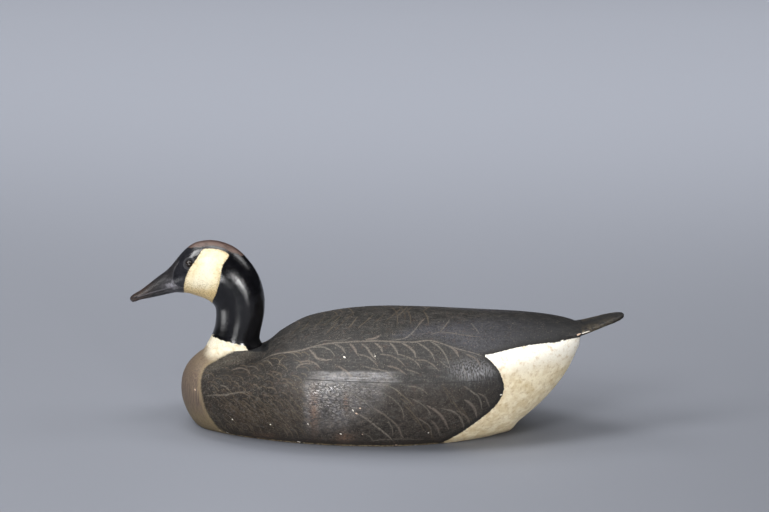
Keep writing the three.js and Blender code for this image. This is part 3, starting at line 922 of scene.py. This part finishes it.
head = blank_of("head_block", "head_and_neck")
take_up(head)
bpy.ops.object.mode_set(mode="EDIT")
bpy.ops.mesh.select_all(action="DESELECT")
bpy.ops.object.mode_set(mode="OBJECT")
for face in head.data.polygons:
    face.select = face.center.z < seat_height + hair / 2
bpy.ops.object.mode_set(mode="EDIT")
bpy.ops.mesh.extrude_region_move(TRANSFORM_OT_translate={"value": (0, 0, -foot_spare)})
bpy.ops.object.mode_set(mode="OBJECT")
worked_with(head, "REMESH", mode="VOXEL", voxel_size=head_grain)
off_bill = grade(points_of(head)[:, 0], *bill_slope)
rasp(head, head_passes, bill_share + (1 - bill_share) * off_bill)

# The bill is fuller than its blank, most of all below and at the tip.

points = points_of(head)
facing = outward_of(head)[:, 2]
on_bill = grade(points[:, 0], *bill_swell)
at_tip = grade(points[:, 0], *bill_tip)
above = np.interp(at_tip, (0, 1), fuller_above)
below = np.interp(at_tip, (0, 1), fuller_below)
points[:, 2] += on_bill * np.where(facing > 0, above, below) * facing
set_points(head, points)

# The line that parts the bill from the face, and the one between its two halves, are cut with a veiner.

bill_line = [
    (178.5, 261.5), (174.8, 268), (172.8, 274), (173, 280), (175.5, 284.5), (179.5, 287.2), (184, 288.5),
]
bill_cut_depth, bill_cut_reach = 0.8 * mm, 1.1 * mm
mouth_line = [(178, 287), (172, 289), (165, 290.7), (155, 293.3), (146, 295.8), (138, 298.4)]
mouth_cut_depth, mouth_cut_reach = 1.5 * mm, 1.2 * mm
lip_above_mouth = 1.5
fine_step = 0.7

skin = skin_of(head)
bill_cut = cut_line(skin, bill_line, fine_step)
mouth_cut = cut_line(skin, mouth_line, fine_step)
lip_edge = cut_line(skin, [(across, down - lip_above_mouth) for across, down in mouth_line], fine_step)
cut_depth = bill_cut_depth * near_line(head, bill_cut, bill_cut_reach)
cut_depth += mouth_cut_depth * near_line(head, mouth_cut, mouth_cut_reach)
push(head, cut_depth)
saw(head, seat_height - hair + glue_film, keep_below=False)

# The paint of the head: glossy black, a cream cheek patch that runs on under the chin, the crown rubbed down
# to brown, and a grey-black bill worn to the wood at its tip.

cheek_border = [
    (203, 249.4), (208, 248.7), (215, 248.8), (221, 250), (226, 252.3), (229, 255), (227.5, 258.5),
    (224, 263), (221.7, 269), (220.5, 276), (219.2, 283), (217.6, 289), (215.6, 295), (213, 299.5),
    (208, 310), (186, 304), (184, 292), (184, 286), (184.8, 281), (186.3, 276), (189, 270), (193, 264),
    (197, 258.5), (200.3, 253),
]
crown_border = [
    (188, 247.4), (194, 247.2), (200, 247.3), (206, 246.4), (213, 245.7), (220, 247), (226, 249.6),
    (232, 252.6), (238, 254), (243, 256), (250, 240), (215, 225), (180, 235),
]
bill_border = bill_line + [(185, 300), (150, 330), (100, 320), (100, 250), (170, 245)]
highlight_by_bill_base = (172, 285, 6.5, 4.5)
edge_reach, mouth_reach = 0.8 * mm, 0.9 * mm  # how far the cuts' light edges, partly worn and partly painted highlight, and the painted shade in the mouth groove show
eye_ring = 9 * mm, 6 * mm  # from the glossy coat to the dull ring round the eye
face_slope = -218 * mm, -236 * mm
bare_tip_slope = -276 * mm, -300 * mm


def head_paint():
    paint = Paint("head_paint")
    forward, sideways, height = paint.add("ShaderNodeSeparateXYZ", {0: paint.place}).outputs
    patchy = paint.noise(9, 4, 0.6, shift=3)
    speckle = paint.noise(1.8, 3, 0.65, shift=7)
    grain = paint.noise(1.1, 3, 0.6, (16, 1, 3), shift=5)
    wobble = paint.part(paint.noise(2.2, 3, 0.6, shift=11), 1.6, -0.8)

    # Lamp black, a little greyer on the face.
    coat = paint.mix(paint.grade(patchy, 0.35, 0.7), tint(4, 4, 6), tint(12, 12, 15))
    coat = paint.mix(paint.grade(speckle, 0.58, 0.8, 0.0, 0.3), coat, tint(54, 54, 58))
    face = paint.times(paint.grade(forward, *face_slope), paint.grade(patchy, 0.3, 0.6, 0.5, 1.0))
    coat = paint.mix(face, coat, tint(34, 34, 38))

    # The bill, scuffed along the grain, with painted highlights and painted shade along its cuts.
    bill = paint.mix(paint.grade(grain, 0.35, 0.7), tint(20, 19, 21), tint(44, 42, 44))
    scuffed = paint.grade(paint.noise(0.9, 2, 0.6, (24, 1, 2), shift=9), 0.58, 0.8, 0.0, 0.45)
    bill = paint.mix(scuffed, bill, tint(98, 94, 95))
    tip = paint.times(paint.grade(forward, *bare_tip_slope), paint.grade(grain, 0.3, 0.55))
    bill = paint.mix(paint.times(tip, 0.85), bill, tint(54, 41, 34))
    # A painted highlight of light streaks lies near the base of the bill.
    corner = paint.times(paint.field("bill_base_highlight"), paint.grade(grain, 0.38, 0.62, 0.2, 0.9))
    bill = paint.mix(corner, bill, tint(138, 136, 142))
    on_bill = paint.grade(paint.field("bill"), -0.5, 0.5)
    coat = paint.mix(on_bill, coat, bill)
    # Light lines along the cuts: by the face the edge is worn pale and partly painted highlight, and above
    # the mouth it is a painted highlight.
    coat = paint.mix(paint.times(paint.field("bill_line"), 0.6), coat, tint(98, 97, 100))
    coat = paint.mix(paint.times(paint.field("lip"), 0.6), coat, tint(120, 117, 121))
    # The mouth groove is painted dark as painted shade.
    coat = paint.mix(paint.times(paint.field("mouth_line"), 0.95), coat, tint(3, 3, 3))

    # The crown, rubbed down to brown.
    crown = paint.mix(paint.grade(grain, 0.3, 0.7), tint(76, 58, 51), tint(104, 86, 78))
    crown = paint.mix(paint.grade(patchy, 0.48, 0.7), crown, tint(58, 42, 36))
    middle = paint.grade(paint.maths("ABSOLUTE", sideways), 6 * mm, 1 * mm)
    crown = paint.mix(paint.times(middle, 0.75), crown, tint(52, 34, 30))
    on_crown = paint.grade(paint.plus(paint.field("crown"), wobble), -0.6, 1.0)
    coat = paint.mix(on_crown, coat, crown)

    # The cheek, stained below and along its rim.
    cheek = paint.mix(paint.grade(patchy, 0.35, 0.65), tint(224, 211, 178), tint(204, 188, 148))
    cheek = paint.mix(paint.grade(paint.field("cheek"), 5.0, 11.0, 0.0, 0.6), cheek, tint(228, 222, 200))
    stain = paint.part(patchy, 16 * mm, height)
    cheek = paint.mix(paint.grade(stain, 199 * mm, 184 * mm, 0.0, 0.9), cheek, tint(188, 164, 116))
    cheek = paint.mix(paint.grade(speckle, 0.5, 0.72, 0.0, 0.5), cheek, tint(178, 158, 118))
    dirt = paint.times(paint.grade(stain, 205 * mm, 190 * mm), paint.grade(speckle, 0.44, 0.62))
    cheek = paint.mix(paint.times(dirt, 0.55), cheek, tint(120, 100, 66))
    rim = paint.times(paint.grade(paint.field("cheek"), 3.5, 0.3), paint.grade(speckle, 0.38, 0.6))
    cheek = paint.mix(paint.times(rim, 0.75), cheek, tint(152, 130, 94))
    on_cheek = paint.grade(paint.plus(paint.field("cheek"), wobble), -0.5, 0.6)
    coat = paint.mix(on_cheek, coat, cheek)

    # The white that runs up from the body.
    ragged = paint.part(paint.noise(4.0, 2, 0.5, shift=17), 3.0, -1.5)
    collar = paint.grade(paint.plus(paint.field("neck"), ragged), 0.3, -0.3)
    chalk = paint.mix(paint.grade(patchy, 0.4, 0.7), tint(222, 214, 193), tint(198, 184, 152))
    chalk = paint.mix(paint.grade(speckle, 0.5, 0.72, 0.0, 0.6), chalk, tint(166, 148, 116))
    colour = paint.mix(collar, coat, chalk)

    # Glossy on the black, duller where it is rubbed, and dull round the eyes.
    dull = paint.maths("MAXIMUM", on_cheek, on_crown)
    dull = paint.maths("MAXIMUM", dull, paint.times(on_bill, 0.6))
    rough = paint.blend(dull, paint.grade(speckle, 0.3, 0.7, 0.1, 0.22), 0.5)
    rough = paint.blend(paint.field("eye_rim"), rough, 0.85)
    return paint.finish(colour, rough, paint.part(grain, 0.6, speckle), depth=0.2 * mm, strength=0.7)


lay_borders(head, cheek=cheek_border, crown=crown_border, bill=bill_border, neck=neck_border)
lay_field(head, "bill_line", near_line(head, bill_cut, edge_reach))
lay_field(head, "lip", near_line(head, lip_edge, edge_reach))
lay_field(head, "mouth_line", near_line(head, mouth_cut, mouth_reach))
lay_field(head, "bill_base_highlight", at_places(seen_at(points_of(head)), [highlight_by_bill_base]))
low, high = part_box("left_eye")
eye_gap = np.linalg.norm(near_side_of(points_of(head)) - np.array((low + high) / 2), axis=1)
lay_field(head, "eye_rim", grade(eye_gap, *eye_ring))
head.data.materials.clear()
head.data.materials.append(head_paint())
take_up(head)
bpy.ops.object.shade_smooth_by_angle(angle=smooth_edge)
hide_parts("head_and_neck")
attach(head, "root")

# The eyes. Two beads of dark brown glass, one on each side of the head. Each is pressed into its own
# socket, and the coat is dull in a ring round it.

glass = bpy.data.materials.new("brown_glass")
glass.use_nodes = True
glass_shader = glass.node_tree.nodes["Principled BSDF"]
glass_shader.inputs["Base Color"].default_value = (0.012, 0.008, 0.006, 1)
glass_shader.inputs["Roughness"].default_value = 0.06

for node in ("left_eye", "right_eye"):
    low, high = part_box(node)
    bpy.ops.object.select_all(action="DESELECT")
    bpy.ops.mesh.primitive_uv_sphere_add(segments=48, ring_count=24, radius=(high.y - low.y) / 2)
    eye = bpy.context.object
    eye.name = node.replace("eye", "glass_bead")
    set_points(eye, points_of(eye) + np.array((low + high) / 2))
    bpy.ops.object.shade_smooth()
    eye.data.materials.append(glass)
    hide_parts(node)
    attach(eye, "root")

# The table, the lights and the camera. The table is a plain matt sheet of cool grey. Softboxes light the
# bird from the left, from above and from behind, and small cards lift its breast and bill.

camera_data = bpy.data.cameras.new("camera")
camera_data.lens = lens
camera_data.sensor_width = sensor
camera = bpy.data.objects.new("camera", camera_data)
camera.location = eye_place
camera.rotation_euler = (-towards_camera).to_track_quat("-Z", "Y").to_euler()
bpy.context.scene.collection.objects.link(camera)
bpy.context.scene.camera = camera
bpy.context.scene.view_settings.view_transform = "Standard"

bpy.ops.object.select_all(action="DESELECT")
bpy.ops.mesh.primitive_plane_add(size=60)
table = bpy.context.object
table.name = "table"
table_top = Paint("table_top")
table_top.feed(table_top.shader.inputs["Base Color"], tint(118, 121, 129))
table_top.feed(table_top.shader.inputs["Roughness"], 0.8)
table.data.materials.append(table_top.material)

bird_middle = Vector((0, 0, 0.1))


def softbox(name, turn, rise, distance, size, power, aim=bird_middle, spread=180):
    """A softbox that faces the bird. It is turned round it from the near side, and raised, in degrees."""
    turn, rise = math.radians(turn), math.radians(rise)
    way = Vector((math.sin(turn) * math.cos(rise), -math.cos(turn) * math.cos(rise), math.sin(rise)))
    lamp = bpy.data.lights.new(name, "AREA")
    lamp.shape = "RECTANGLE"
    lamp.size, lamp.size_y = size
    lamp.energy = power
    lamp.spread = math.radians(spread)
    box = bpy.data.objects.new(name, lamp)
    box.location = way * distance + bird_middle
    box.rotation_euler = (box.location - aim).to_track_quat("Z", "Y").to_euler()
    box.visible_camera = False
    bpy.context.scene.collection.objects.link(box)
    return box


# Turn and rise in degrees, distance and size in metres, and power in watts.

softbox("right_box", 25, 5, 2.0, (0.22, 0.36), 1.45, aim=Vector((0, 0, 0.14)), spread=50)
softbox("low_card", -15, 2, 0.85, (0.12, 0.16), 0.22, aim=Vector((-0.05, 0, 0.14)), spread=50)
softbox("left_box", -61, 46, 2.0, (0.5, 1.3), 26)
softbox("left_card", -70, -5, 0.55, (0.36, 0.1), 0.028, aim=Vector((-0.17, -0.05, 0.14)), spread=40)
softbox("front_box", -17, 36, 2.2, (0.6, 0.6), 20)
softbox("overhead_box", 0, 86, 2.0, (1.1, 0.8), 17)
softbox("rear_left_box", -115, 60, 2.0, (0.8, 0.8), 10)
softbox("rear_right_box", 100, 50, 2.0, (0.9, 0.9), 12)
far_box = softbox("far_box", 176, 42, 3.9, (7.0, 4.4), 215, aim=Vector((0.2, 3.3, 0)), spread=75)
far_box.visible_glossy = False
room = bpy.data.worlds.new("room")
room.use_nodes = True
room.node_tree.nodes["Background"].inputs["Color"].default_value = (0.62, 0.66, 0.74, 1)
room.node_tree.nodes["Background"].inputs["Strength"].default_value = 0.04
bpy.context.scene.world = room
